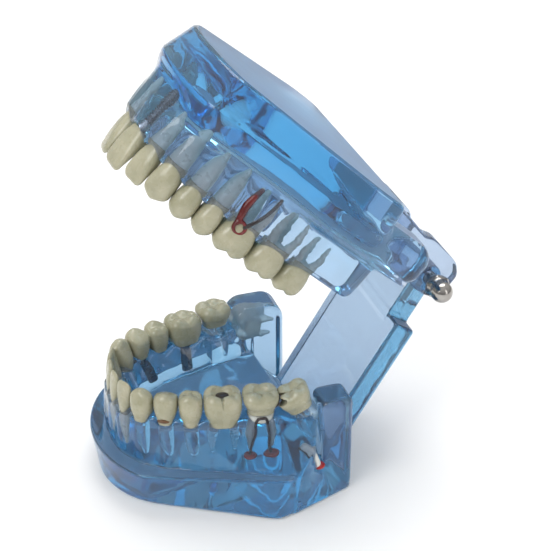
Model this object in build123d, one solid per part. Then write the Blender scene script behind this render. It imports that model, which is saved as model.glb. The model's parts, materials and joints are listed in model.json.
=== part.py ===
from build123d import *
import math
import os

# Hinged dental study model (typodont) with implants, a bridge, a pull-off crown and disease inserts.
# Units are millimetres.  +Z is up, the incisors face -Y and +X is the patient's left.
# The origin is on the underside of the lower base.  The jaws are drawn parallel, and the upper
# jaw is then turned open about the hinge rod.  The teeth meet a little before the jaws are parallel.

# ---------------------------------------------------------------- driving dimensions
HINGE_Y = 64.4
HINGE_Z = 57.9
REST_OPENING = 41.8          # degrees from parallel jaws to the rest pose

LOWER_GUM_Z = 27.3
LOWER_TIP_Z = 36.2
UPPER_GUM_Z = 42.5
UPPER_TIP_Z = 34.0

RIM_Z = 13.5                 # top of the lower slab's outer ledge
FLOOR_Z = 19.0               # floor of the tongue space
NEAR_BLOCK_Z = 32.0          # top of the clear block behind the left teeth
FAR_BLOCK_Z = 33.6           # top of the clear block over the impacted molar

SLAB_TOP_Z = 73.0            # flat top of the upper base, jaws parallel
SLAB_BELLY_Z = 63.0
SLAB_LOW_Z = 54.5
PALATE_Z = 56.5

PLATE_THICKNESS = 7.5
PLATE_HALF_WIDTH = 19.7
PLATE_LEAN = 32.0            # degrees back from vertical
TONGUE_HALF_WIDTH = 13.5
TONGUE_LENGTH = 16.0         # from the hinge axis down to the plate's shoulders
LUG_INNER_X = 14.0
LUG_OUTER_X = PLATE_HALF_WIDTH

ROD_RADIUS = 2.0
ROD_CLEARANCE = 0.05         # radial, in the lower plate's bore
NUT_FLATS = 7.0
NUT_HEX_HEIGHT = 3.2
NUT_HEIGHT = 8.0
NUT_DOME_RADIUS = 3.25
NUT_HOLE_DEPTH = 5.3

SOCKET_CLEARANCE = 0.3       # between an abutment and the crown that pulls off it
CROWN_SEAT_SCALE = 1.06      # size of the pull-off crown's seat in the gum against the crown
TOOTH_GAP = 0.2              # between neighbouring crowns

# Tooth sizes: width along the arch, depth across it, root length, crown style, number of roots.
TEETH = {
    "lower": {
        "central_incisor": (5.3, 6.0, 11.0, "blade", 1),
        "lateral_incisor": (5.9, 6.4, 11.5, "blade", 1),
        "canine": (6.8, 7.6, 12.5, "point", 1),
        "first_premolar": (7.0, 7.8, 12.0, "table", 1),
        "second_premolar": (7.1, 8.2, 12.0, "table", 1),
        "first_molar": (11.2, 10.3, 12.0, "table", 2),
        "second_molar": (10.5, 10.0, 12.0, "table", 2),
        "third_molar": (10.0, 9.5, 10.5, "table", 2),
    },
    "upper": {
        "central_incisor": (8.6, 7.0, 13.0, "blade", 1),
        "lateral_incisor": (6.8, 6.2, 13.0, "blade", 1),
        "canine": (7.7, 8.0, 14.0, "point", 1),
        "first_premolar": (7.2, 9.0, 13.0, "table", 1),
        "second_premolar": (6.9, 9.0, 13.0, "table", 1),
        "first_molar": (10.5, 10.8, 12.0, "table", 3),
        "second_molar": (10.0, 10.6, 12.0, "table", 3),
        "third_molar": (8.8, 9.6, 10.0, "table", 3),
    },
}

# Left half of each arch of tooth centres, from the midline back.
LOWER_ARCH_HALF = [(0, -27.3), (8.0, -25.8), (14.0, -21.2), (18.2, -14.0), (21.4, -2.0),
                   (24.0, 9.5), (25.8, 21.5), (26.8, 32.0)]
UPPER_ARCH_HALF = [(0, -31.2), (9.5, -29.3), (16.6, -23.6), (21.4, -15.6), (24.6, -7.0),
                   (27.0, 1.5), (28.6, 11.0), (29.4, 22.0), (29.4, 32.0)]

# Upper front teeth sit deeper in the gum and lean outwards: rise in mm, lean in degrees.
UPPER_FRONT = {"central_incisor": (2.0, 14.0), "lateral_incisor": (1.0, 8.0), "canine": (0.8, 4.0)}

# Slab outlines, left half: front centre, shoulder, heel corner, rear corner.
LOWER_UNDERSIDE = [(0, -33.4), (20.5, -22.8), (39.8, 10.3)]
LOWER_RIM = [(0, -35.3), (24.0, -26.6), (40.0, 13.0)]
LOWER_REAR_X = 31.0
UPPER_TOP = [(0, -32.0), (22.0, -26.5), (38.0, 18.0), (37.0, 28.0)]
UPPER_BELLY = [(0, -36.0), (23.5, -29.0), (39.0, 18.0), (38.0, 29.0)]
UPPER_LOW = [(0, -34.0), (22.5, -27.0), (38.0, 18.0), (37.0, 29.0)]

REAR_Y = (HINGE_Y - PLATE_THICKNESS / 2 / math.cos(math.radians(PLATE_LEAN))
          - math.tan(math.radians(PLATE_LEAN)) * (HINGE_Z - FLOOR_Z))


# ---------------------------------------------------------------- arches
def arch_curve(half):
    """Whole arch through its left half's points and their mirror images, from right to left."""
    right = [(-x, y) for x, y in reversed(half[1:])]
    return Spline(right + half)


LOWER_ARCH = arch_curve(LOWER_ARCH_HALF)
UPPER_ARCH = arch_curve(UPPER_ARCH_HALF)


def arch_frame(arch, distance, side, z, crown_up):
    """Frame on the arch, a signed distance from the midline: X along it, Y outwards, Z to the tip."""
    along = arch.length / 2 + side * distance
    point = arch.position_at(along, position_mode=PositionMode.LENGTH)
    tangent = arch.tangent_at(along, position_mode=PositionMode.LENGTH)
    x_dir = -tangent if crown_up else tangent
    z_dir = (0, 0, 1) if crown_up else (0, 0, -1)
    return Plane(origin=(point.X, point.Y, z), x_dir=x_dir, z_dir=z_dir)


def ridge_face(arch, z, front, back, rear_y):
    """Closed outline offset from the arch by front at the midline, growing to back at the rear."""
    count = 15
    points = []
    for step in range(count):
        t = step / (count - 1)
        share = abs(2 * t - 1)
        offset = front + (back - front) * share ** 1.5
        point = arch @ t
        tangent = arch % t
        points.append((point.X + tangent.Y * offset, point.Y - tangent.X * offset))
    points = [(x, min(y, rear_y)) for x, y in points]
    outline = Spline(points) + Polyline(points[-1], (points[-1][0], rear_y + 1),
                                        (points[0][0], rear_y + 1), points[0])
    return Pos(0, 0, z) * make_face(outline)


def slab_face(half, rear, z):
    """Slab outline at height z: an arc across the front, then straight sides through the left
    half's corner points to the rear corner, and a straight rear."""
    corners = half[1:] + [rear]
    mirrored = [(-x, y) for x, y in reversed(corners)]
    front = ThreePointArc(mirrored[-1], half[0], corners[0])
    return Pos(0, 0, z) * make_face(front + Polyline(*corners, *mirrored))


# ---------------------------------------------------------------- teeth
def section(width, depth, z, x=0.0, y=0.0):
    """Rounded cross-section of a tooth."""
    corner = 0.42 * min(width, depth)
    return Pos(x, y, z) * RectangleRounded(width, depth, corner)


def crown(width, depth, height, style):
    """Crown from its neck at z = 0 to its tip."""
    top_width, top_depth = {"blade": (0.96, 0.22), "point": (0.42, 0.30), "table": (0.84, 0.66)}[style]
    belly = 0.80 if style == "blade" else 0.96
    body = loft([section(width * 0.74, depth * 0.80, 0),
                 section(width * 0.98, depth * belly, height * 0.45),
                 section(width * top_width, depth * top_depth, height)], ruled=True)
    if style == "table":
        body -= Pos(0, 0, height + depth * 0.55) * Sphere(depth * 0.62)
    return body


def roots(width, depth, length, count):
    """One to three tapering roots below z = 0, each starting inside the crown."""
    if count == 1:
        return loft([section(width * 0.62, depth * 0.66, 0.8),
                     section(width * 0.50, depth * 0.56, -length * 0.5),
                     section(width * 0.22, depth * 0.24, -length)], ruled=True)
    spread = width * 0.21
    places = [(-spread, 0), (spread, 0)]
    share = 0.62
    if count == 3:
        places = [(-spread, depth * 0.17), (spread, depth * 0.17), (0, -depth * 0.20)]
        share = 0.30
    body = None
    for x, y in places:
        root = loft([section(width * 0.30, depth * share, 0.8, x, y),
                     section(width * 0.15, depth * share * 0.5, -length, x * 1.35, y * 1.25)], ruled=True)
        body = root if body is None else body + root
    return body


def front_setting(arch_name, tooth):
    """How far a tooth is set into the gum, and how far its tip leans outwards."""
    return UPPER_FRONT.get(tooth, (0.0, 0.0)) if arch_name == "upper" else (0.0, 0.0)


def tooth_height(arch_name, tooth):
    plain = LOWER_TIP_Z - LOWER_GUM_Z if arch_name == "lower" else UPPER_GUM_Z - UPPER_TIP_Z
    return plain + front_setting(arch_name, tooth)[0]


def tooth_distance(arch_name, tooth):
    """Distance along the arch from the midline to a tooth's centre."""
    distance = 0.0
    for name, (width, *_) in TEETH[arch_name].items():
        if name == tooth:
            return distance + width / 2
        distance += width
    raise KeyError(tooth)


def tooth_frame(arch_name, side, tooth):
    lower = arch_name == "lower"
    arch = LOWER_ARCH if lower else UPPER_ARCH
    gum = LOWER_GUM_Z if lower else UPPER_GUM_Z
    rise, lean = front_setting(arch_name, tooth)
    frame = arch_frame(arch, tooth_distance(arch_name, tooth), side, gum, lower)
    return frame * Pos(0, 0, -rise) * Rot(-lean, 0, 0)


def tooth_crown(arch_name, tooth):
    width, depth, _, style, _ = TEETH[arch_name][tooth]
    return crown(width - TOOTH_GAP, depth, tooth_height(arch_name, tooth), style)


def tooth_roots(arch_name, tooth):
    width, depth, length, _, count = TEETH[arch_name][tooth]
    return roots(width - TOOTH_GAP, depth, length, count)


def whole_tooth(arch_name, side, tooth):
    return tooth_frame(arch_name, side, tooth) * (tooth_crown(arch_name, tooth) + tooth_roots(arch_name, tooth))


LEFT = 1
RIGHT = -1
SIDE_NAMES = {LEFT: "left", RIGHT: "right"}
BRIDGE_TEETH = ["first_premolar", "second_premolar", "first_molar"]


def make_teeth(arch_name, missing):
    """Every tooth of an arch apart from the missing (side, name) pairs, as named nodes."""
    made = {}
    for side in (LEFT, RIGHT):
        for tooth in TEETH[arch_name]:
            if (side, tooth) not in missing:
                name = f"{arch_name}_{SIDE_NAMES[side]}_{tooth}"
                made[name] = whole_tooth(arch_name, side, tooth)
    return made


# ---------------------------------------------------------------- implants, bridge and crown
IMPLANT_RADIUS = 1.9
IMPLANT_LENGTH = 12.5
THREAD_PITCH = 0.8
THREAD_DEPTH = 0.35
BRIDGE_IMPLANT_RADIUS = 1.8
BRIDGE_IMPLANT_LENGTH = 9.0
COLLAR_HEIGHT = 2.5          # abutment's straight collar inside the gum
POST_HEIGHT = 4.5            # abutment's cone above the gum
POST_BASE_RADIUS = 1.5
POST_TIP_RADIUS = 1.1


def abutment():
    """Collar below z = 0 and a cone above it."""
    collar = Cylinder(BRIDGE_IMPLANT_RADIUS, COLLAR_HEIGHT, align=(Align.CENTER, Align.CENTER, Align.MAX))
    post = Cone(POST_BASE_RADIUS, POST_TIP_RADIUS, POST_HEIGHT, align=(Align.CENTER, Align.CENTER, Align.MIN))
    return collar + post


def socket():
    """Space inside a crown that clears the abutment's cone and the rim of its collar."""
    cone = Cone(POST_BASE_RADIUS + SOCKET_CLEARANCE, POST_TIP_RADIUS + SOCKET_CLEARANCE,
                POST_HEIGHT + SOCKET_CLEARANCE, align=(Align.CENTER, Align.CENTER, Align.MIN))
    return cone + Cylinder(BRIDGE_IMPLANT_RADIUS + SOCKET_CLEARANCE, 4 * SOCKET_CLEARANCE)


def plain_implant(tilt):
    """Plain round implant under an abutment's collar, its apex tilted along the arch."""
    body = Pos(0, 0, -COLLAR_HEIGHT) * Rot(0, -tilt, 0) * Pos(0, 0, BRIDGE_IMPLANT_RADIUS * 0.4) * Cylinder(
        BRIDGE_IMPLANT_RADIUS, BRIDGE_IMPLANT_LENGTH, align=(Align.CENTER, Align.CENTER, Align.MAX))
    return body - abutment()


def threaded_implant():
    """Implant with ring threads along its length, below an abutment's collar."""
    turns = int(IMPLANT_LENGTH / THREAD_PITCH) - 1
    outline = [(0, 0), (IMPLANT_RADIUS, 0)]
    for turn in range(turns):
        top = -THREAD_PITCH * (turn + 0.5)
        outline += [(IMPLANT_RADIUS, top), (IMPLANT_RADIUS - THREAD_DEPTH, top - THREAD_PITCH * 0.4),
                    (IMPLANT_RADIUS, top - THREAD_PITCH * 0.8)]
    outline += [(IMPLANT_RADIUS * 0.75, -IMPLANT_LENGTH), (0, -IMPLANT_LENGTH)]
    profile = Plane.XZ * make_face(Polyline(*outline, (0, 0)))
    return Pos(0, 0, -COLLAR_HEIGHT) * revolve(profile, Axis.Z)


upper_implant_frame = tooth_frame("upper", LEFT, "central_incisor")
FRONT_IMPLANT_SHIFT = 0.7    # to the back of its tooth's middle
FRONT_IMPLANT_TILT = 18.0    # degrees, apex leaning to the back under an upright abutment
front_implant_frame = arch_frame(LOWER_ARCH, tooth_distance("lower", "first_premolar") + FRONT_IMPLANT_SHIFT,
                                 RIGHT, LOWER_GUM_Z, True)
rear_implant_frame = tooth_frame("lower", RIGHT, "first_molar")


def make_bridge():
    """Three joined crowns with a socket over each abutment."""
    body = None
    for tooth in BRIDGE_TEETH:
        unit = tooth_frame("lower", RIGHT, tooth) * tooth_crown("lower", tooth)
        body = unit if body is None else body + unit
    for first, second in zip(BRIDGE_TEETH, BRIDGE_TEETH[1:]):
        middle = (tooth_distance("lower", first) + tooth_distance("lower", second)) / 2
        middle += (TEETH["lower"][first][0] - TEETH["lower"][second][0]) / 4
        frame = arch_frame(LOWER_ARCH, middle, RIGHT, LOWER_GUM_Z, True)
        body += frame * Pos(0, 0, 3.6) * Box(3.0, 3.6, 3.0)
    return body - front_implant_frame * socket() - rear_implant_frame * socket()


# ---------------------------------------------------------------- castings
# Distances of a ridge's outline from the arch line, at the midline and at the rear.
# Outwards is positive.
LOWER_RIDGE_FOOT = (3.2, 14.0)
LOWER_RIDGE_GUM = (3.4, 5.2)
TONGUE_SPACE_FLOOR = (-8.0, -6.5)
TONGUE_SPACE_GUM = (-3.6, -4.6)
UPPER_RIDGE_GUM = (3.6, 5.2)
UPPER_RIDGE_ROOT = (4.6, 6.5)
PALATE_MOUTH = (-4.2, -5.0)
PALATE_VAULT = (-11.0, -8.5)
UPPER_RIDGE_REAR_Y = 33.0
PALATE_REAR_Y = 60.0         # past the slab's rear, so the palate is open at the back

NEAR_BLOCK = (10.5, 9.9, 3.5)          # width, length and corner radius
NEAR_BLOCK_X = 26.6
FAR_BLOCK = (12.0, 17.0, 4.0)
FAR_BLOCK_X = -27.0
FAR_BLOCK_REAR_Y = 32.3      # the ridge ends with the block on this side
HEEL_LOBE = (16.5, 24.0, 6.0)
HEEL_LOBE_X = 28.5
HEEL_LOBE_Y = 35.5
HEEL_LOBE_HEIGHT = 12.5
PLATE_LENGTH = 48.0          # from the shoulders down into the slab
LUG_END_RADIUS = 4.7
LABIAL_NOTCH_LENGTH = 25.0   # the gum is cut back to the necks of the central incisors
BORE_LENGTH = 60.0           # long enough to pass through everything on the hinge line


def rounded_column(size, height):
    """Upright column with a rounded rectangular outline, size being width, length, corner radius."""
    return extrude(RectangleRounded(*size), height)


def hinge_bore(radius):
    return Pos(0, HINGE_Y, HINGE_Z) * Rot(0, 90, 0) * Cylinder(radius, BORE_LENGTH)


def make_lower_base():
    slab = loft([slab_face(LOWER_UNDERSIDE, (LOWER_REAR_X, REAR_Y), 0),
                 slab_face(LOWER_RIM, (LOWER_REAR_X, REAR_Y), RIM_Z)], ruled=True)
    ridge = loft([ridge_face(LOWER_ARCH, RIM_Z - 1, *LOWER_RIDGE_FOOT, REAR_Y - 1),
                  ridge_face(LOWER_ARCH, LOWER_GUM_Z, *LOWER_RIDGE_GUM, REAR_Y - 1)], ruled=True)
    tongue_space = loft([ridge_face(LOWER_ARCH, FLOOR_Z, *TONGUE_SPACE_FLOOR, REAR_Y + 10),
                         ridge_face(LOWER_ARCH, LOWER_GUM_Z + 1, *TONGUE_SPACE_GUM, REAR_Y + 10)], ruled=True)
    heel_cut = slab_face(LOWER_RIM, (LOWER_REAR_X, REAR_Y), 0)
    body = slab + (ridge & extrude(heel_cut, LOWER_GUM_Z))
    body -= tongue_space
    body -= Pos(2 * FAR_BLOCK_X, FAR_BLOCK_REAR_Y, FLOOR_Z) * Box(
        -2 * FAR_BLOCK_X, 20, 20, align=(Align.MIN, Align.MIN, Align.MIN))
    for x, size, rear, top in ((NEAR_BLOCK_X, NEAR_BLOCK, REAR_Y, NEAR_BLOCK_Z),
                               (FAR_BLOCK_X, FAR_BLOCK, FAR_BLOCK_REAR_Y, FAR_BLOCK_Z)):
        body += Pos(x, rear - size[1] / 2, RIM_Z) * rounded_column(size, top - RIM_Z)
    lean = Pos(0, HINGE_Y, HINGE_Z) * Rot(-PLATE_LEAN, 0, 0)
    wide = Pos(0, 0, -TONGUE_LENGTH) * Box(2 * PLATE_HALF_WIDTH, PLATE_THICKNESS, PLATE_LENGTH,
                                          align=(Align.CENTER, Align.CENTER, Align.MAX))
    tongue = Box(2 * TONGUE_HALF_WIDTH, PLATE_THICKNESS, TONGUE_LENGTH + 1,
                 align=(Align.CENTER, Align.CENTER, Align.MAX))
    barrel = Rot(0, 90, 0) * Cylinder(PLATE_THICKNESS / 2, 2 * TONGUE_HALF_WIDTH)
    body += lean * (wide + tongue + barrel)
    return body - hinge_bore(ROD_RADIUS + ROD_CLEARANCE)


def make_lug(side):
    """Arm from the upper slab back to the rod, with a rounded end round the rod."""
    end = LUG_END_RADIUS
    outline = Polyline((22, 57.0), (55, 57.0), (58, HINGE_Z - end), (HINGE_Y, HINGE_Z - end))
    outline += ThreePointArc((HINGE_Y, HINGE_Z - end),
                             (HINGE_Y + end * math.sin(math.pi / 4), HINGE_Z - end * math.cos(math.pi / 4)),
                             (HINGE_Y + end, HINGE_Z))
    outline += Polyline((HINGE_Y + end, HINGE_Z), (HINGE_Y + end, 63.5), (HINGE_Y + 1.5, 66.5),
                        (54.5, 68.5), (51, 67.6), (30, 72.0), (22, 72.0), (22, 57.0))
    arm = extrude(Plane.YZ * make_face(outline), LUG_OUTER_X - LUG_INNER_X)
    start = LUG_INNER_X if side == LEFT else -LUG_OUTER_X
    return Pos(start, 0, 0) * arm


def make_upper_base():
    slab = loft([slab_face(UPPER_LOW[:-1], UPPER_LOW[-1], SLAB_LOW_Z),
                 slab_face(UPPER_BELLY[:-1], UPPER_BELLY[-1], SLAB_BELLY_Z)], ruled=True)
    slab += loft([slab_face(UPPER_BELLY[:-1], UPPER_BELLY[-1], SLAB_BELLY_Z),
                  slab_face(UPPER_TOP[:-1], UPPER_TOP[-1], SLAB_TOP_Z)], ruled=True)
    ridge = loft([ridge_face(UPPER_ARCH, UPPER_GUM_Z, *UPPER_RIDGE_GUM, UPPER_RIDGE_REAR_Y),
                  ridge_face(UPPER_ARCH, SLAB_LOW_Z + 1, *UPPER_RIDGE_ROOT, UPPER_RIDGE_REAR_Y)], ruled=True)
    palate = loft([ridge_face(UPPER_ARCH, UPPER_GUM_Z - 1, *PALATE_MOUTH, PALATE_REAR_Y),
                   ridge_face(UPPER_ARCH, PALATE_Z, *PALATE_VAULT, PALATE_REAR_Y)], ruled=True)
    central_width = TEETH["upper"]["central_incisor"][0]
    rise = UPPER_FRONT["central_incisor"][0]
    ridge -= Pos(0, -LABIAL_NOTCH_LENGTH, UPPER_GUM_Z) * Box(2 * central_width, LABIAL_NOTCH_LENGTH, 2 * rise)
    body = slab + ridge
    for side in (LEFT, RIGHT):
        body += Pos(side * HEEL_LOBE_X, HEEL_LOBE_Y, SLAB_LOW_Z) * rounded_column(HEEL_LOBE, HEEL_LOBE_HEIGHT)
    body -= palate
    for side in (LEFT, RIGHT):
        body += make_lug(side)
    return body - hinge_bore(ROD_RADIUS)


# ---------------------------------------------------------------- hinge hardware
def make_cap_nut(side):
    """Domed nut with a blind hole, its flat face on the outside of the lug."""
    hexagon = extrude(RegularPolygon(NUT_FLATS / 2, 6, major_radius=False), NUT_HEX_HEIGHT)
    neck = NUT_HEIGHT - NUT_DOME_RADIUS - NUT_HEX_HEIGHT
    dome = Pos(0, 0, NUT_HEX_HEIGHT) * extrude(Circle(NUT_DOME_RADIUS), neck)
    dome += Pos(0, 0, NUT_HEX_HEIGHT + neck) * (
        Sphere(NUT_DOME_RADIUS) & Box(9, 9, 5, align=(Align.CENTER, Align.CENTER, Align.MIN)))
    nut = hexagon + dome - extrude(Circle(ROD_RADIUS), NUT_HOLE_DEPTH)
    return Pos(side * LUG_OUTER_X, HINGE_Y, HINGE_Z) * Rot(0, side * 90, 0) * nut


def make_rod():
    reach = LUG_OUTER_X + NUT_HOLE_DEPTH - 0.3
    return Pos(0, HINGE_Y, HINGE_Z) * Rot(0, 90, 0) * Cylinder(ROD_RADIUS, 2 * reach)


# ---------------------------------------------------------------- disease inserts
CANAL_RADIUS = 0.45
LESION_RADIUS = 1.7


def second_molar_root_tip(sign):
    """Tip of one root of a lower second molar, in that tooth's frame."""
    width, _, length, _, _ = TEETH["lower"]["second_molar"]
    return Vector(sign * (width - TOOTH_GAP) * 0.21 * 1.35, 0, -length)


def make_canals():
    """Two straight canals up the roots of the lower left second molar."""
    frame = tooth_frame("lower", LEFT, "second_molar")
    canals = []
    for sign in (-1, 1):
        tip = second_molar_root_tip(sign)
        start = Vector(tip.X * 0.8, 0, -1.5)
        end = start + (tip - start) * 0.86
        axis = Plane(origin=start, z_dir=end - start).location
        canals.append(frame * axis * extrude(Circle(CANAL_RADIUS), (end - start).length))
    return canals


def make_lesions():
    """Round lesions under the root tips of the lower left second molar."""
    frame = tooth_frame("lower", LEFT, "second_molar")
    return [frame * Pos(*(second_molar_root_tip(sign) - Vector(0, 0, 0.4))) * Sphere(LESION_RADIUS)
            for sign in (-1, 1)]


def bent_rod(radius, *points):
    """Round bar swept along a smooth curve through the points."""
    path = Spline(*points)
    return sweep(Plane(origin=path @ 0, z_dir=path % 0) * Circle(radius), path=path)


def make_root_piece():
    """Curved root piece standing in the resin behind the left second molar, and its round tip."""
    frame = tooth_frame("lower", LEFT, "third_molar")
    points = [(-0.5, 4.6, -9.3), (-2.6, 5.4, -12.1), (-5.2, 5.8, -15.7)]
    piece = frame * bent_rod(1.2, *points)
    tip = frame * Pos(-5.8, 5.8, -16.5) * Sphere(1.8)
    return piece - tip, tip


def make_molar_canals():
    """Wide bent canal and thin canal in the outer roots of the upper left first molar."""
    frame = tooth_frame("upper", LEFT, "first_molar")
    wide = frame * bent_rod(0.8, (0.4, 3.0, 2.2), (-1.6, 2.4, -1.5), (-2.6, 2.2, -6.5), (-2.8, 2.2, -10.0))
    thin = frame * bent_rod(0.4, (2.2, 2.6, 0.5), (2.6, 2.3, -4.5), (2.8, 2.2, -9.5))
    return wide, thin


def make_neck_decay():
    """Brown wedge in the outer neck of the lower left first premolar."""
    _, depth, _, _, _ = TEETH["lower"]["first_premolar"]
    frame = tooth_frame("lower", LEFT, "first_premolar")
    return frame * Pos(0, depth * 0.42, 1.2) * Sphere(1.3)


def make_cavity_decay():
    """Brown patch in the biting face of the lower left first molar."""
    frame = tooth_frame("lower", LEFT, "first_molar")
    return frame * Pos(0.6, 0, tooth_height("lower", "first_molar") - 2.2) * Cylinder(1.9, 2.0)


# ---------------------------------------------------------------- assembly
def opened(shape):
    """Turn an upper jaw piece from parallel jaws to the rest pose."""
    return shape.rotate(Axis((0, HINGE_Y, HINGE_Z), (1, 0, 0)), -REST_OPENING)


def cut_all(body, tools):
    """Body less every tool."""
    for tool in tools:
        body = body - tool
    return body


def build():
    lower = make_teeth("lower", [(RIGHT, tooth) for tooth in BRIDGE_TEETH] + [(RIGHT, "third_molar")])
    lying = arch_frame(LOWER_ARCH, tooth_distance("lower", "third_molar") + 1.5, RIGHT, 26.0, True)
    lower["lower_right_impacted_molar"] = lying * Rot(0, -78, 0) * Pos(0, 0, -1.4) * (
        crown(9.0, 8.4, 6.0, "table") + roots(9.0, 8.4, 7.0, 2))
    lower["lower_front_abutment"] = front_implant_frame * abutment()
    lower["lower_rear_abutment"] = rear_implant_frame * abutment()
    lower["lower_front_implant"] = front_implant_frame * plain_implant(FRONT_IMPLANT_TILT)
    lower["lower_rear_implant"] = rear_implant_frame * plain_implant(0)

    canals = make_canals()
    lesions = make_lesions()
    molar = "lower_left_second_molar"
    lower[molar] = cut_all(lower[molar], canals + lesions)
    root_piece, root_tip = make_root_piece()
    neck_decay = make_neck_decay()
    cavity_decay = make_cavity_decay()
    lower["lower_left_first_premolar"] -= neck_decay
    lower["lower_left_first_molar"] -= cavity_decay
    lower["second_molar_lesions"] = Compound(children=lesions)
    lower["root_piece"] = root_piece
    lower["root_piece_lesion"] = root_tip

    base = cut_all(make_lower_base(), lower.values())
    base = cut_all(base, canals + [neck_decay])
    lower["second_molar_canals"] = Compound(children=canals)
    lower["premolar_neck_decay"] = neck_decay
    lower["molar_cavity_decay"] = cavity_decay

    upper = make_teeth("upper", [(LEFT, "central_incisor")])
    upper["upper_left_implant"] = upper_implant_frame * threaded_implant()
    upper["upper_left_abutment"] = upper_implant_frame * abutment()
    wide_canal, thin_canal = make_molar_canals()
    molar = "upper_left_first_molar"
    upper[molar] = cut_all(upper[molar], [wide_canal, thin_canal])
    top = cut_all(make_upper_base(), upper.values())
    top = cut_all(top, [wide_canal, thin_canal])
    upper["molar_wide_canal"] = wide_canal
    upper["molar_thin_canal"] = thin_canal

    implant_crown = tooth_crown("upper", "central_incisor")
    top -= upper_implant_frame * scale(implant_crown, CROWN_SEAT_SCALE)
    upper["upper_left_central_crown"] = upper_implant_frame * (implant_crown - socket())
    upper["upper_base"] = top
    upper["hinge_rod"] = make_rod()
    upper["left_cap_nut"] = make_cap_nut(LEFT)
    upper["right_cap_nut"] = make_cap_nut(RIGHT)

    parts = {"lower_base": base, **lower, "lower_bridge": make_bridge()}
    for name, shape in upper.items():
        parts[name] = opened(shape)
    return parts


if __name__ == "__main__":
    os.makedirs("parts", exist_ok=True)
    for name, shape in build().items():
        export_step(shape, f"parts/{name}.step")
        print(f"{name}: {shape.volume:.1f} mm3, {len(shape.solids())} solid(s), valid {shape.is_valid}")
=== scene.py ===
import functools
import json
import math

import bpy
import numpy as np
from mathutils import Matrix, Vector
from mathutils.geometry import convex_hull_2d
from numpy.linalg import norm

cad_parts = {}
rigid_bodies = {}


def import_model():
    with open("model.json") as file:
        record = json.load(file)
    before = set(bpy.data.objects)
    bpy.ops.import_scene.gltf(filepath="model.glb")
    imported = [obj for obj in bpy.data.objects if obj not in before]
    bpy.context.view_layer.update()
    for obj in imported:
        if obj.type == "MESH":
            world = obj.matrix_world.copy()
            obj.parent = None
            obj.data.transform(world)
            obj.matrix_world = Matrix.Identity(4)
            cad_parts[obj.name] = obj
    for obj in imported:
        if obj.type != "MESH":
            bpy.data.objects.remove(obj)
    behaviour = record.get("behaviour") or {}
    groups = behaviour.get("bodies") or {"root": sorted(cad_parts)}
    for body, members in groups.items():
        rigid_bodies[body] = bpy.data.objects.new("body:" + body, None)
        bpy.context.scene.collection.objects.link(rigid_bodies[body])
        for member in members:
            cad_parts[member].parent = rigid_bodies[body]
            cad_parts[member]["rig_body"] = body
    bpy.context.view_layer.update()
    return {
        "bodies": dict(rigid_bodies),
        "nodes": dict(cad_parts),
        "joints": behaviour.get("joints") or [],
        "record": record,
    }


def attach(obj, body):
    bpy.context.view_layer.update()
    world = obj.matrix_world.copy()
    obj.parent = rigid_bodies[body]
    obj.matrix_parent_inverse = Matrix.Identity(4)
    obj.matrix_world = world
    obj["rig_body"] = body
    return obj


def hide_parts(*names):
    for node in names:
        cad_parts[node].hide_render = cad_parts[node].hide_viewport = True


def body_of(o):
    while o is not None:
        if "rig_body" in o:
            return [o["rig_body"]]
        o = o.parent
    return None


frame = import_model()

# Visual model of the hinged dental study model.
# Shapes are worked out in millimetres in the row frame and written to meshes in metres.
# The upper jaw is shaped with the jaws parallel and then turned about the hinge to its rest place.

MM = 0.001
nodes = frame["nodes"]
hinge = next(joint for joint in frame["joints"] if joint["name"] == "jaw_hinge")
HINGE = np.array(hinge["pos_m"]) / MM
OPENING = math.radians(41.8)      # from parallel jaws to the rest pose

LOWER, UPPER = "lower_jaw", "upper_jaw"
BODY = {"lower": LOWER, "upper": UPPER}
LEFT, RIGHT = 1, -1
SIDES = {"left": LEFT, "right": RIGHT}


# ======== frames
def turn_matrix(angle):
    """Rotation about +X by an angle."""
    c, s = math.cos(angle), math.sin(angle)
    return np.array([[1, 0, 0], [0, c, -s], [0, s, c]])


def opened(points):
    """Points of the upper jaw from parallel jaws to the rest pose."""
    return (points - HINGE) @ turn_matrix(-OPENING).T + HINGE


def levelled(points):
    """Points of the upper jaw from the rest pose to parallel jaws."""
    return (points - HINGE) @ turn_matrix(OPENING).T + HINGE


def node_points(name):
    """Corner points of a CAD node in millimetres, in the row frame at rest."""
    mesh = nodes[name].data
    points = np.empty(len(mesh.vertices) * 3)
    mesh.vertices.foreach_get("co", points)
    return points.reshape(-1, 3) / MM


def level_points(name):
    """Corner points of a CAD node with the jaws parallel."""
    points = node_points(name)
    return levelled(points) if body_of(nodes[name])[0] in (UPPER, "implant_crown") else points


# ======== distance fields
# A field takes points (..., 3) and gives a distance that is negative inside the shape.
def ball(p, centre, radius):
    return norm(p - np.asarray(centre), axis=-1) - radius


def egg(p, centre, radii):
    """Ellipsoid, with its distance estimated from its two norms."""
    q = p - np.asarray(centre)
    radii = np.asarray(radii, float)
    near = norm(q / radii, axis=-1)
    far = norm(q / radii ** 2, axis=-1)
    return near * (near - 1) / np.maximum(far, 1e-6)


def from_segment(p, start, end):
    """Share of the way along a segment to each point's foot, and the offset from there."""
    along = end - start
    t = np.clip((p - start) @ along / (along @ along), 0, 1)
    return t, p - start - t[..., None] * along


def limb(p, start, end, start_radius, end_radius):
    """Tapered rod with round ends."""
    t, away = from_segment(p, np.asarray(start, float), np.asarray(end, float))
    return norm(away, axis=-1) - start_radius - (end_radius - start_radius) * t


def block(p, centre, half, corner):
    """Box with rounded edges."""
    q = np.abs(p - np.asarray(centre)) - np.asarray(half) + corner
    return norm(np.maximum(q, 0), axis=-1) + np.minimum(q.max(-1), 0) - corner


def prism(side, height, corner):
    """Extrusion of a plan distance, side, between flat ends, with rounded rims."""
    a, b = side + corner, height + corner
    return np.hypot(np.maximum(a, 0), np.maximum(b, 0)) + np.minimum(np.maximum(a, b), 0) - corner


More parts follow.
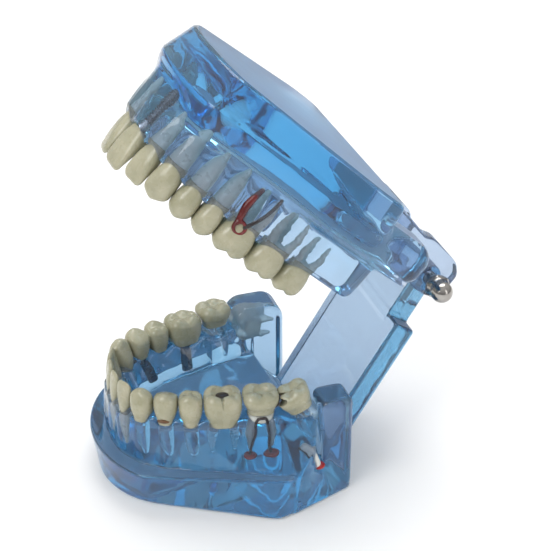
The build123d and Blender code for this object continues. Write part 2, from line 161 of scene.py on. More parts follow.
def from_axis(q):
    """Distance from the Z axis."""
    return np.hypot(q[..., 0], q[..., 1])


def join(a, b, blend):
    """Union of two fields with a fillet of about blend."""
    h = np.clip(0.5 + 0.5 * (b - a) / blend, 0, 1)
    return b + (a - b) * h - blend * h * (1 - h)


def meet(a, b, blend):
    """Intersection, or the smooth maximum of two heights."""
    return -join(-a, -b, blend)


def cut(a, b, blend):
    """What is left of a outside b."""
    return meet(a, -b, blend)


# ======== plans
def polygon_distance(p, corners):
    """Signed distance of plan points to a closed polygon, negative inside."""
    corners = np.asarray(corners, float)
    ends = np.roll(corners, -1, axis=0)
    best = np.full(p.shape[:-1], 1e9)
    inside = np.zeros(p.shape[:-1], bool)
    for start, end in zip(corners, ends):
        along = end - start
        if along @ along < 1e-9:
            continue
        best = np.minimum(best, norm(from_segment(p, start, end)[1], axis=-1))
        crosses = (start[1] > p[..., 1]) != (end[1] > p[..., 1])
        rise = along[1] if abs(along[1]) > 1e-9 else 1e-9
        where = start[0] + (p[..., 1] - start[1]) / rise * along[0]
        inside ^= crosses & (p[..., 0] < where)
    return np.where(inside, -best, best)


class Plan:
    """Table of a two-dimensional field, read back between its points."""

    STEP = 0.5

    def __init__(self, low, high, fill, soften=0.0):
        self.low = np.asarray(low, float)
        counts = np.ceil((np.asarray(high) - self.low) / self.STEP).astype(int) + 1
        grid = np.stack(np.meshgrid(*[np.arange(n) * self.STEP for n in counts], indexing="ij"), -1)
        self.table = fill(grid + self.low)
        if soften:
            self.table = self.softened(self.table, soften)

    def softened(self, table, sigma):
        """Gaussian blur, which rounds corners and leaves straight edges where they are."""
        span = int(3 * sigma / self.STEP)
        weights = np.exp(-0.5 * (np.arange(-span, span + 1) * self.STEP / sigma) ** 2)
        weights /= weights.sum()
        for axis in (0, 1):
            padded = np.pad(table, [(span, span) if a == axis else (0, 0) for a in (0, 1)],
                            mode="reflect", reflect_type="odd")
            table = sum(w * np.take(padded, np.arange(table.shape[axis]) + i, axis=axis)
                        for i, w in enumerate(weights))
        return table

    def __call__(self, a, b):
        u = np.clip((a - self.low[0]) / self.STEP, 0, self.table.shape[0] - 1.001)
        v = np.clip((b - self.low[1]) / self.STEP, 0, self.table.shape[1] - 1.001)
        i, j = u.astype(int), v.astype(int)
        u, v = u - i, v - j
        t = self.table
        return ((t[i, j] * (1 - u) + t[i + 1, j] * u) * (1 - v)
                + (t[i, j + 1] * (1 - u) + t[i + 1, j + 1] * u) * v)


# ======== surfaces
COARSE = 4      # fine cells along one coarse cell


def part_of(axis, start, stop):
    """Index of a range along one axis of a grid."""
    return tuple(slice(start, stop) if a == axis else slice(None) for a in range(3))


def sample(field, low, high, step):
    """Field on a fine grid, worked out only near the surface."""
    cells = [math.ceil((h - l) / (step * COARSE)) for l, h in zip(low, high)]
    coarse_axes = [l + np.arange(n + 1) * step * COARSE for l, n in zip(low, cells)]
    coarse = field(np.stack(np.meshgrid(*coarse_axes, indexing="ij"), -1).reshape(-1, 3))
    coarse = coarse.reshape([n + 1 for n in cells])
    near = np.full(cells, 1e9)
    for corner in np.ndindex(2, 2, 2):
        picked = coarse[tuple(slice(c, c + n) for c, n in zip(corner, cells))]
        near = np.minimum(near, np.abs(picked))
    near = near < step * COARSE * 1.6
    for axis in range(3):
        before = np.roll(near, 1, axis)
        before[part_of(axis, 0, 1)] = False
        near = near | before
    index = [np.minimum(np.arange(n * COARSE + 1) // COARSE, n - 1) for n in cells]
    values = coarse[np.ix_(*index)].copy()
    places = np.argwhere(near[np.ix_(*index)])
    found = np.concatenate([field(np.asarray(low) + part * step) for part in
                            np.array_split(places, max(1, len(places) // 200000))])
    values[tuple(places.T)] = found
    return values


def surface_net(values):
    """Points in grid units and quads of the zero surface of sampled values."""
    shape = np.array(values.shape) - 1
    sums = np.zeros((int(shape.prod()), 3))
    hits = np.zeros(int(shape.prod()))
    quads = []
    for axis in range(3):
        first, second = values[part_of(axis, 0, -1)], values[part_of(axis, 1, None)]
        edges = np.argwhere((first < 0) != (second < 0))
        a, b = first[tuple(edges.T)], second[tuple(edges.T)]
        crossing = edges.astype(float)
        crossing[:, axis] += a / (a - b)
        u, v = np.eye(3, dtype=int)[(axis + 1) % 3], np.eye(3, dtype=int)[(axis + 2) % 3]
        around = [edges - u - v, edges - v, edges, edges - u]
        whole = np.all([(c >= 0).all(1) & (c < shape).all(1) for c in around], axis=0)
        flat = [np.ravel_multi_index(tuple(c[whole].T), shape) for c in around]
        for cell in flat:
            hits += np.bincount(cell, minlength=len(hits))
            for k in range(3):
                sums[:, k] += np.bincount(cell, crossing[whole, k], minlength=len(hits))
        ring = np.stack(flat, 1)
        outward = (a < 0)[whole]
        quads.append(np.where(outward[:, None], ring, ring[:, ::-1]))
    used = hits > 0
    number = np.cumsum(used) - 1
    return sums[used] / hits[used, None], number[np.concatenate(quads)]


def in_scene(name, data):
    """New object of some data, linked to the scene."""
    made = bpy.data.objects.new(name, data)
    bpy.context.scene.collection.objects.link(made)
    return made


def slope(field, points, delta):
    """Gradient of a field by central differences."""
    sides = [field(points + delta * axis) - field(points - delta * axis) for axis in np.eye(3)]
    return np.stack(sides, -1) / (2 * delta)


def solid(name, field, low, high, step, place=None):
    """Mesh object of a field's zero surface. place turns its points into the row frame."""
    low = np.asarray(low, float)
    points, quads = surface_net(sample(field, low, high, step))
    points = low + points * step
    for _ in range(2):
        gradient = slope(field, points, step * 0.5)
        size = np.maximum((gradient ** 2).sum(-1), 0.05)
        shift = np.clip(field(points) / size, -step * 0.5, step * 0.5)
        points = points - shift[:, None] * gradient
    normals = slope(field, points, step * 0.8)
    normals /= np.maximum(norm(normals, axis=-1), 1e-9)[:, None]
    if place:
        origin = place(np.zeros((1, 3)))
        normals = place(normals) - origin
        points = place(points)
    mesh = bpy.data.meshes.new(name)
    mesh.from_pydata((points * MM).tolist(), [], quads.tolist())
    mesh.validate()
    mesh.shade_smooth()
    mesh.normals_split_custom_set_from_vertices(normals.tolist())
    return in_scene(name, mesh)


# ======== sizes taken from the CAD frame
TEETH = ["central_incisor", "lateral_incisor", "canine", "first_premolar", "second_premolar",
         "first_molar", "second_molar", "third_molar"]
GUM = {"lower": level_points("lower_bridge")[:, 2].min(), "upper": 42.5}
TIP = {"lower": level_points("lower_bridge")[:, 2].max(), "upper": 34.0}
HEIGHT = {jaw: abs(GUM[jaw] - TIP[jaw]) for jaw in GUM}
# Upper front teeth sit deeper in the gum and lean outwards: rise in mm, lean in degrees.
FRONT = {"central_incisor": (2.0, 14.0), "lateral_incisor": (1.0, 8.0), "canine": (0.8, 4.0)}
# Upper front crowns bend back from their roots, in degrees, and run past the CAD tips, in mm.
BEND = {"central_incisor": 10.0, "lateral_incisor": 6.0, "canine": 3.0}
LONGER = {"central_incisor": 2.4, "lateral_incisor": 1.2, "canine": 1.0, "first_premolar": 0.6,
          "second_premolar": 0.5, "first_molar": 0.3}
# Lower crowns that start above the gum plane, in mm.
NECK = {"canine": 0.6, "first_premolar": 0.7, "second_molar": 3.5, "third_molar": 3.2}
FULLER = {"lower": 1.01, "upper": 1.045}      # crown widths against the CAD, so that neighbours touch


def setting(jaw, tooth):
    """Rise and lean of a tooth in its gum."""
    return FRONT.get(tooth, (0.0, 0.0)) if jaw == "upper" else (0.0, 0.0)


def outline_at(name, z):
    """Convex outline of a CAD node's corner points at a height, jaws parallel."""
    points = level_points(name)
    points = points[np.abs(points[:, 2] - z) < 0.05, :2]
    return points[convex_hull_2d(points.tolist())]


def known_side(jaw, tooth):
    """A side on which the CAD has a tooth, and its node's name."""
    return next((sign, f"{jaw}_{side}_{tooth}") for side, sign in SIDES.items()
                if f"{jaw}_{side}_{tooth}" in nodes)


def neck_middle(jaw, tooth):
    """Plan point of the middle of a left tooth's neck."""
    points = level_points(known_side(jaw, tooth)[1])
    rise = setting(jaw, tooth)[0]
    points = points[np.abs(points[:, 2] - GUM[jaw] - rise) < 0.05 + 0.6 * rise, :2]
    middle = (points.min(0) + points.max(0)) / 2
    return np.array([abs(middle[0]), middle[1]])


CURVE_STEPS = 12      # runs from one given point of a curve to the next


def smooth_line(points, steps=CURVE_STEPS):
    """Catmull-Rom curve through plan points."""
    padded = np.vstack([2 * points[0] - points[1], points, 2 * points[-1] - points[-2]])
    t = np.linspace(0, 1, steps, endpoint=False)[:, None]
    parts = []
    for a, b, c, d in zip(padded, padded[1:], padded[2:], padded[3:]):
        parts.append(0.5 * (2 * b + (c - a) * t + (2 * a - 5 * b + 4 * c - d) * t ** 2
                            + (3 * b - a - 3 * c + d) * t ** 3))
    return np.vstack(parts + [points[-1:]])


class Arch:
    """Line through the tooth necks of a jaw, with plan tables of the distance from it and along it."""

    TAIL = 16.0        # straight run added behind the last tooth

    def __init__(self, jaw):
        left = np.array([neck_middle(jaw, tooth) for tooth in TEETH])
        right = left[::-1] * (-1, 1)
        tail = left[-1] - left[-2]
        tail = left[-1] + tail / norm(tail) * self.TAIL
        centres = np.vstack([tail * (-1, 1), right, left, tail])
        self.line = smooth_line(centres)
        steps = norm(np.diff(self.line, axis=0), axis=1)
        self.travel = np.concatenate([[0], np.cumsum(steps)])
        self.travel -= self.travel[-1] / 2
        self.centres = self.travel[::CURVE_STEPS][1:-1]
        self.phases = np.arange(16) - 7.5
        low, high = self.line.min(0) - 20, self.line.max(0) + 20
        self.offset = Plan(low, high, lambda p: self.nearest(p)[0], soften=0.7)
        self.along = Plan(low, high, lambda p: self.nearest(p)[1])

    def nearest(self, p):
        """Signed distance outwards from the line, and distance along it."""
        best = np.full(p.shape[:-1], 1e9)
        along = np.zeros(p.shape[:-1])
        sign = np.ones(p.shape[:-1])
        for start, end, base in zip(self.line, self.line[1:], self.travel):
            run = end - start
            t, away = from_segment(p, start, end)
            distance = norm(away, axis=-1)
            closer = distance < best
            best = np.where(closer, distance, best)
            along = np.where(closer, base + t * norm(run), along)
            sign = np.where(closer, np.sign(away @ np.array([run[1], -run[0]])), sign)
        return best * sign, along

    def point(self, travel):
        return np.array([np.interp(travel, self.travel, self.line[:, k]) for k in (0, 1)])

    def bump(self, along):
        """1 at the middle of each tooth and 0 between two teeth."""
        phase = np.interp(along, self.centres, self.phases, left=-7.5, right=7.5)
        return 0.5 + 0.5 * np.cos(2 * math.pi * (phase - 0.5))


ARCH = {jaw: Arch(jaw) for jaw in ("lower", "upper")}


def mix(a, b, t):
    """Blend from a to b."""
    return a + (b - a) * t


def ease(t):
    """Smooth step from 0 to 1."""
    t = np.clip(t, 0, 1)
    return t * t * (3 - 2 * t)


# ======== castings
RIM_Z = 13.5             # widest level of the lower slab
FLOOR_Z = 19.0           # flat floor inside the lower arch
REAR_Y = 35.7            # rear of the ridge and the near block
FAR_REAR_Y = 32.3        # rear of the far block and of the ridge on that side
NEAR_BLOCK, NEAR_BLOCK_TOP = (26.6, 5.25, 4.95), 32.0       # middle x, half-width and half-depth
FAR_BLOCK, FAR_BLOCK_TOP = (-27.0, 6.0, 8.5), 33.6
PLATE_HALF, PLATE_WIDE, PLATE_NARROW = 3.75, 19.7, 13.5     # half-thickness and half-widths
PLATE_LEAN = math.radians(32)
SHOULDER = 16.0          # from the hinge line down to the plate's shoulders
PLATE_RUN = 48.0         # from the shoulders down
BORE_RADIUS = 2.05
UPPER_RIDGE_REAR, UPPER_RIDGE_TOP, PALATE_Z = 33, 60, 56.5
LUG_IN, LUG_OUT = 14.0, 19.7

low_rim = Plan((-50, -45), (50, 60), lambda p: polygon_distance(p, outline_at("lower_base", RIM_Z)), 1.6)
low_foot = Plan((-50, -45), (50, 60), lambda p: polygon_distance(p, outline_at("lower_base", 0)), 1.6)


def graded(arch, along, front, back):
    """Offset that grows from front at the midline to back at the rear teeth."""
    return mix(front, back, np.clip(np.abs(along) / arch.centres[-1], 0, 1) ** 1.5)


def gum_line(jaw, along, offset):
    """Height of the gum edge above its plane: low at each tooth, raised between them."""
    bump = ARCH[jaw].bump(along)
    front = 1 - 0.5 * ease(np.abs(along) / 30)
    height = mix(1.5, -0.6, bump) * (0.55 + 0.45 * front) * np.exp(-(np.abs(offset) / 9) ** 2)
    if jaw == "upper":
        height = height - np.interp(np.abs(along), [8, 9.5, 15, 16, 22, 24], [2.0, 1.0, 1.0, 0.8, 0.8, 0.0])
    return height


def lower_casting(p):
    """Slab, tooth ridge round a sunk floor, the two blocks and the leaning plate."""
    x, y, z = np.moveaxis(p, -1, 0)
    arch = ARCH["lower"]
    offset, along = arch.offset(x, y), arch.along(x, y)
    rise = np.clip(z / RIM_Z, 0, 1)
    ledge = RIM_Z + 1.2 * ease((low_rim(x, y) + 9) / 9) - 1.2
    skirt = mix(low_foot(x, y), low_rim(x, y), rise)
    slab = prism(skirt, np.maximum(z - ledge, -z), 0.9)

    up = np.clip((z - RIM_Z + 1) / (GUM["lower"] - RIM_Z + 1), 0, 1)
    bulge = arch.bump(along) * 0.8 * np.sin(math.pi * np.clip(up * 1.15, 0, 1))
    outer = mix(graded(arch, along, 3.2, 14.0), graded(arch, along, 3.4, 5.2),
                ease(up * 1.25) * 0.4 + up * 0.6)
    deep = np.clip((z - FLOOR_Z) / (GUM["lower"] - FLOOR_Z), 0, 1)
    inner = mix(graded(arch, along, 8.0, 6.5), graded(arch, along, 3.6, 4.6), deep) + bulge * 0.4
    top = z - GUM["lower"] - gum_line("lower", along, offset)
    outside = offset - outer - bulge + 0.6
    ridge = meet(np.maximum(outside * 0.85, skirt * 0.98), top, 1.8)
    inside = meet(offset + inner, FLOOR_Z - z, 1.5)
    body = join(slab, np.maximum(ridge, y - REAR_Y), 1.3)
    body = cut(body, inside, 1.2)
    middle, wide, deep = NEAR_BLOCK
    near = block(p, (middle, REAR_Y - 5.0, NEAR_BLOCK_TOP / 2), (wide, deep, NEAR_BLOCK_TOP / 2), 2.4)
    middle, wide, deep = FAR_BLOCK
    half = FAR_BLOCK_TOP / 2
    far_side = block(p * (0, 1, 1), (0, FAR_REAR_Y - deep, half), (20, deep, half), 5.5)
    far = prism(far_side, np.abs(x - middle) - wide, 2.2)
    beyond = np.maximum(np.maximum(FAR_REAR_Y - y, x + 5), FLOOR_Z - z)
    body = cut(body, beyond, 0.8)
    body = join(join(body, near, 1.6), far, 1.4)

    # Across and along the plate, from the hinge line.
    v = (y - HINGE[1]) * math.cos(PLATE_LEAN) - (z - HINGE[2]) * math.sin(PLATE_LEAN)
    w = (y - HINGE[1]) * math.sin(PLATE_LEAN) + (z - HINGE[2]) * math.cos(PLATE_LEAN)
    local = np.stack([x, v, w], -1)
    half = PLATE_RUN / 2
    lower_part = block(local, (0, 0, -SHOULDER - half), (PLATE_WIDE, PLATE_HALF, half), 1.2)
    half = SHOULDER / 2 + 1
    tongue = block(local, (0, 0, -half), (PLATE_NARROW, PLATE_HALF, half), 0.6)
    barrel = prism(np.hypot(v, w) - PLATE_HALF, np.abs(x) - PLATE_NARROW, 0.6)
    plate = join(np.minimum(tongue, barrel), lower_part, 1.0)
    body = join(body, np.maximum(plate, -z + 0.5), 1.5)
    bore = np.hypot(y - HINGE[1], z - HINGE[2]) - BORE_RADIUS
    return np.maximum(np.maximum(body, -bore), -z)


UP_LEVELS = [54.5, 63.0, 73.0]      # bottom, widest level and flat back of the upper slab
up_plans = [Plan((-50, -50), (50, 60), lambda p, z=z: polygon_distance(p, outline_at("upper_base", z)), 1.8)
            for z in UP_LEVELS]
LUG_SIDE = [(22, 57), (55, 57), (58, 53.2), (64.4, 53.2), (67.7, 54.6), (69.1, 57.9), (69.1, 63.5),
            (65.9, 66.5), (54.5, 68.5), (51, 67.6), (30, 72), (22, 72)]
lug_side = Plan((10, 45), (80, 80), lambda p: polygon_distance(p, LUG_SIDE), 0.9)


def upper_casting(p):
    """The upper casting with the jaws parallel."""
    x, y, z = np.moveaxis(p, -1, 0)
    arch = ARCH["upper"]
    offset, along = arch.offset(x, y), arch.along(x, y)
    low, belly, high = [plan(x, y) for plan in up_plans]
    side = np.where(z < UP_LEVELS[1],
                    mix(low, belly, ease((z - UP_LEVELS[0]) / (UP_LEVELS[1] - UP_LEVELS[0]))),
                    mix(belly, high, (z - UP_LEVELS[1]) / (UP_LEVELS[2] - UP_LEVELS[1])))
    middle, half = (UP_LEVELS[2] + UP_LEVELS[0]) / 2, (UP_LEVELS[2] - UP_LEVELS[0]) / 2
    slab = prism(side, np.abs(z - middle) - half, 1.2)

    up = np.clip((z - GUM["upper"]) / (UP_LEVELS[0] - GUM["upper"]), 0, 1)
    bulge = arch.bump(along) * 1.1 * np.cos(math.pi / 2 * up) ** 0.5
    outer = mix(graded(arch, along, 3.6, 5.2), graded(arch, along, 4.6, 6.5), up)
    hollow = np.clip((z - GUM["upper"] + 1) / 15, 0, 1)
    inner = mix(graded(arch, along, 4.2, 5.0), graded(arch, along, 11.0, 8.5), hollow ** 1.3)
    top = GUM["upper"] - gum_line("upper", along, offset) - z
    ridge = meet(offset - outer - bulge + 0.8, top, 1.6)
    ridge = meet(np.maximum(ridge, z - UPPER_RIDGE_TOP), y - UPPER_RIDGE_REAR, 3.5)
    body = join(slab, ridge, 1.4)
    for sign in (LEFT, RIGHT):
        lobe = block(p, (sign * 28.5, 35.5, 60.7), (8.25, 12.0, 6.2), 5.0)
        body = join(body, lobe, 1.5)
    roof = meet(offset + inner, z - PALATE_Z, 3.0)
    body = cut(body, roof, 1.5)
    for sign in (LEFT, RIGHT):
        arm = prism(lug_side(y, z), np.abs(x - sign * (LUG_IN + LUG_OUT) / 2) - (LUG_OUT - LUG_IN) / 2, 0.8)
        body = join(body, arm, 1.0)
    return body


pieces = {}          # every piece by name, with the look it takes


def add(name, field, low, high, step, place, body, look, *replaced):
    """Build a piece, let it ride on its body and stand for CAD nodes."""
    made = solid(name, field, low, high, step, place)
    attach(made, body)
    if replaced:
        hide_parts(*replaced)
    pieces[name] = (made, look)


STEP = 0.5
add("lower_casting", lower_casting, (-42, -38, -1.5), (42, 70, 64), STEP, None, LOWER,
    "clear_blue_resin", "lower_base")
add("upper_casting", upper_casting, (-42, -42, 38), (42, 72, 75), STEP, opened, UPPER,
    "clear_blue_resin", "upper_base")


# ======== teeth
class Frame:
    """Own axes of a piece: its millimetres to the row frame with the jaws parallel, and back."""

    def __init__(self, origin, axes):
        self.origin, self.axes = np.asarray(origin, float), np.asarray(axes, float)

    def out(self, q):
        return q @ self.axes + self.origin

    def into(self, p):
        return (p - self.origin) @ self.axes.T

    def turned(self, about_y=0.0, about_x=0.0, shift=(0, 0, 0)):
        """Frame turned about its own Y and then its own X axis, in degrees, then shifted along itself."""
        c, s = math.cos(math.radians(about_y)), math.sin(math.radians(about_y))
        axes = np.array([[c, 0, -s], [0, 1, 0], [s, 0, c]]) @ self.axes
        axes = turn_matrix(math.radians(about_x)).T @ axes
        return Frame(self.origin + np.asarray(shift) @ axes, axes)


def tooth_frame(jaw, side, tooth, extra=0.0):
    """X along the arch, Y outwards, Z to the tip. The second value is +1 if X runs to the midline."""
    arch = ARCH[jaw]
    travel = side * (arch.centres[8 + TEETH.index(tooth)] + extra)
    ahead, behind = arch.point(travel + 1), arch.point(travel - 1)
    tangent = np.append((ahead - behind) / norm(ahead - behind), 0)
    up = np.array([0, 0, 1.0])
    if jaw == "upper":
        tangent, up = -tangent, -up
    origin = np.append(arch.point(travel), GUM[jaw])
    mesial = side if jaw == "lower" else -side
    rise, lean = setting(jaw, tooth)
    frame = Frame(origin - rise * up, [-tangent, np.cross(up, -tangent), up])
    return frame.turned(about_x=-lean), mesial


def tooth_size(jaw, tooth):
    """Width, depth and root length of a tooth, from its CAD node."""
    side, name = known_side(jaw, tooth)
    q = tooth_frame(jaw, side, tooth)[0].into(level_points(name))
    crown = q[q[:, 2] > 0.1]
    return np.ptp(crown[:, 0]), np.ptp(crown[:, 1]), -q[:, 2].min()


# Crown profiles: half-width, half-depth and outward shift at these shares of the crown's height, as shares
# of its width and depth, and the power of its superellipse plan.
LEVELS = [-0.3, 0.0, 0.25, 0.5, 0.75, 1.0]
PROFILES = {
    "lower_blade": ([0.33, 0.36, 0.43, 0.475, 0.495, 0.49], [0.42, 0.44, 0.40, 0.30, 0.20, 0.12],
                    [0.0, 0.02, 0.07, 0.12, 0.14, 0.13], 2.4),
    "upper_blade": ([0.36, 0.41, 0.48, 0.505, 0.51, 0.49], [0.44, 0.48, 0.46, 0.36, 0.23, 0.12],
                    [0.0, 0.02, 0.09, 0.16, 0.20, 0.19], 2.7),
    "point": ([0.36, 0.41, 0.48, 0.51, 0.50, 0.44], [0.43, 0.48, 0.49, 0.42, 0.30, 0.17],
              [0.0, 0.02, 0.06, 0.10, 0.12, 0.10], 2.4),
    "premolar": ([0.36, 0.40, 0.48, 0.51, 0.50, 0.44], [0.41, 0.45, 0.50, 0.51, 0.46, 0.36],
                 [0.0, 0.0, 0.0, 0.0, -0.01, -0.02], 2.5),
    "molar": ([0.38, 0.42, 0.48, 0.51, 0.50, 0.45], [0.41, 0.45, 0.50, 0.51, 0.48, 0.40],
              [0.0, 0.0, 0.0, 0.0, -0.01, -0.02], 3.0),
}
STYLES = {"central_incisor": "blade", "lateral_incisor": "blade", "canine": "point",
          "first_premolar": "premolar", "second_premolar": "premolar",
          "first_molar": "molar", "second_molar": "molar", "third_molar": "molar"}
# Cusps: place along and across as shares of width and depth (mesial and outwards positive), and drop.
CUSPS = {
    "lower_first_premolar": [(0.02, 0.18, 0.0), (0.0, -0.26, 2.4)],
    "lower_second_premolar": [(0.05, 0.20, 0.2), (0.14, -0.24, 0.9), (-0.2, -0.24, 1.2)],
    "upper_premolar": [(0.02, 0.24, 0.0), (0.04, -0.24, 0.8)],
    "lower_molar": [(0.24, 0.22, 0.3), (-0.12, 0.24, 0.4), (-0.36, 0.08, 0.8), (0.24, -0.24, 0.1),
                    (-0.22, -0.24, 0.3)],
    "upper_molar": [(0.24, 0.26, 0.0), (-0.20, 0.26, 0.3), (0.20, -0.22, 0.2), (-0.26, -0.22, 0.8)],
}


def curve(levels, values):
    """Smooth function through a column of values."""
    line = smooth_line(np.column_stack([levels, values]), 8)
    return lambda t: np.interp(t, line[:, 0], line[:, 1])


PROFILE_CURVES = {name: ([curve(LEVELS, column) for column in columns], power)
                  for name, (*columns, power) in PROFILES.items()}


def lofted(x, y, a, b, power):
    """Distance from a superellipse with half-axes a and b that vary from point to point."""
    u, v = np.abs(x) / a, np.abs(y) / b
    r = np.maximum((u ** power + v ** power) ** (1 / power), 0.05)
    g = np.hypot(u ** (power - 1) / a, v ** (power - 1) / b) * r ** (1 - power)
    return (r - 1) / np.maximum(g, 0.4 / np.maximum(a, b))


def crown_field(jaw, tooth, width, depth, height):
    """Crown with its neck at z = 0; +x is mesial and +y outwards."""
    style = STYLES[tooth]
    name = f"{jaw}_blade" if style == "blade" else style
    (half_width, half_depth, shift), power = PROFILE_CURVES[name]
    key = f"{jaw}_{tooth}" if f"{jaw}_{tooth}" in CUSPS else f"{jaw}_{style}"

    def field(q):
        x, y, z = np.moveaxis(q, -1, 0)
        t = z / height
        a, b, s = half_width(t) * width, half_depth(t) * depth, shift(t) * depth
        body = lofted(x, y - s, a, b, power)
        if style == "blade":
            top = height - 0.9 * np.clip(np.abs(x + 0.06 * width) / (width / 2), 0, 1.2) ** 4
        elif style == "point":
            top = height + 0.35 - 0.52 * np.sqrt((x - 0.03 * width) ** 2 + 0.35)
        else:
            hills = []
            for u, v, drop in CUSPS[key]:
                away = np.sqrt((x - u * width) ** 2 + (y - v * depth) ** 2 + 0.6)
                hills.append(height - drop - 0.55 * away + 0.43)
            for end in (-0.43, 0.43):       # ridges at the two ends
                hills.append(height - 1.2 - 0.9 * np.abs(x - end * width) - 0.22 * np.abs(y))
            top = functools.reduce(lambda a, b: meet(a, b, 0.35), hills)
        return np.maximum(meet(body, z - top, 1.1), -z - 1.6)
    return field


# Molar roots: how flat they are, and each leg's place along and across, radius and length as shares.
LEGS = {"lower": (0.55, [(0.22, 0.0, 0.17, 1.0), (-0.22, 0.0, 0.16, 0.95)]),
        "upper": (1.0, [(0.22, 0.20, 0.15, 1.0), (-0.22, 0.20, 0.14, 0.95), (0.0, -0.22, 0.17, 1.0)])}


def root_field(jaw, tooth, width, depth, length):
    """Root or roots below z = 0, running up a little way into the crown. Only molars have several."""
    style = STYLES[tooth]
    if style != "molar":
        taper = curve([-1.05, -1.0, -0.75, -0.4, 0.0, 0.1], [0.01, 0.11, 0.22, 0.30, 0.34, 0.34])

        def field(q):
            t = q[..., 2] / length
            lean = -0.10 * width * np.clip(-t, 0, 1) ** 2.5
            share = taper(t)
            side = lofted(q[..., 0] - lean, q[..., 1], share * width, share * depth * 1.15, 2.2)
            return meet(side, np.abs(q[..., 2] + length / 2) - length / 2 - 0.6, 0.5)
        return field
    flat, legs = LEGS[jaw]

    def field(q):
        q = q * (1, flat, 1)
        body = egg(q, (0, 0, 0.2), (0.38 * width, 0.42 * depth * flat, 2.8))
        for u, v, thick, share in legs:
            x, y, radius = u * width, v * depth * flat, thick * width
            knee = (x * 1.35, y * 1.15, -0.5 * length * share)
            tip = (x * 1.2, y * 1.2, -length * share + 0.6)
            body = join(body, limb(q, (x, y, 0), knee, radius, radius * 0.8), 0.7)
            body = join(body, limb(q, knee, tip, radius * 0.8, radius * 0.38), 0.3)
        return body
    return field


def hollowed(field, *cavities):
    """A field less its cavities."""
    def cut_field(q):
        body = field(q)
        for cavity in cavities:
            body = cut(body, cavity(q), 0.25)
        return body
    return cut_field


def rippled(field):
    """A field with a rough, wavy surface."""
    return lambda q: field(q) + 0.16 * np.sin(2.6 * q[..., 2]) * np.cos(1.9 * q[..., 0] + q[..., 2])


def mirrored(field, mesial):
    """Field whose +x follows the frame's mesial direction."""
    return lambda q: field(q * (mesial, 1, 1))


def placed(jaw, frame):
    """Own millimetres of a piece to the row frame at rest."""
    if jaw == "upper":
        return lambda q: opened(frame.out(q))
    return frame.out


def fit(name, field, low, high, step, frame, jaw, look, *replaced):
    """Piece in the frame of a tooth, which rides on its jaw."""
    add(name, field, low, high, step, placed(jaw, frame), BODY[jaw], look, *replaced)


CROWN_STEP = 0.25
# Teeth that stand a little off their CAD place: tip forwards in degrees, and shift in mm, +x forwards.
TIPS = {"lower_left_third_molar": (28.0, (-1.9, 0, -0.6)), "lower_right_second_molar": (0.0, (0, 0, 0.8))}


def root_look(jaw, side, tooth):
    """Look of a root: clear, greyish or ivory in the resin."""
    if jaw == "upper":
        return "rough_root" if tooth in ("second_molar", "third_molar") else "root_ivory"
    if tooth == "second_molar" and side == "left":
        return "grey_root"
    return "root_ivory" if tooth in ("central_incisor", "lateral_incisor") else "clear_root_resin"


def egg_at(centre, radii):
    """Ellipsoid as a field."""
    return lambda q: egg(q, centre, radii)


def line_of(points, radius):
    """Round bar through points, as a field."""
    radii = np.broadcast_to(radius, len(points))
    runs = list(zip(points, points[1:], radii, radii[1:]))
    return lambda q: functools.reduce(np.minimum, [limb(q, *run) for run in runs])


def smooth_path(points):
    """Rounded path through points in space."""
    points = np.asarray(points, float)
    count = np.arange(len(points))
    columns = [smooth_line(np.column_stack([count, points[:, k]]), 5)[:, 1] for k in range(3)]
    return np.column_stack(columns)


def crescent(q, centre):
    """Flat cap with a hollow top, like a lesion under a root tip."""
    body = egg(q, centre, (2.15, 1.9, 0.9))
    return cut(body, ball(q, np.asarray(centre) + (0, 0, 2.6), 2.2), 0.2)


H = HEIGHT["lower"]
CAVITIES = {        # pits and grooves of decayed and drilled crowns
    "lower_left_first_molar": [
        egg_at((0.1, 0.0, H + 0.2), (3.5, 2.6, 2.6)),
        line_of([(0.2, 1.5, H - 1.4), (0.1, 3.6, H - 1.2), (0, 5.1, H - 3.6)], [0.5, 0.4, 0.1])],
    "lower_left_second_molar": [
        egg_at((-0.2, 0.0, H - 0.2), (2.6, 1.6, 1.7)),
        line_of([(0, 0.4, H - 1.3), (-0.3, 2.6, H - 1.1), (-0.5, 4.4, H - 2.4)], [0.4, 0.3, 0.1])],
    "lower_left_third_molar": [egg_at((3.8, 1.5, H - 1.6), (2.9, 3.1, 0.95))],
    "lower_left_second_premolar": [egg_at((x, -0.3, H - 0.6), (1.1, 1.0, 1.3)) for x in (1.2, -1.3)],
    "lower_left_first_premolar": [egg_at((0.2, 3.9, 1.0), (1.6, 0.8, 0.7))],
}


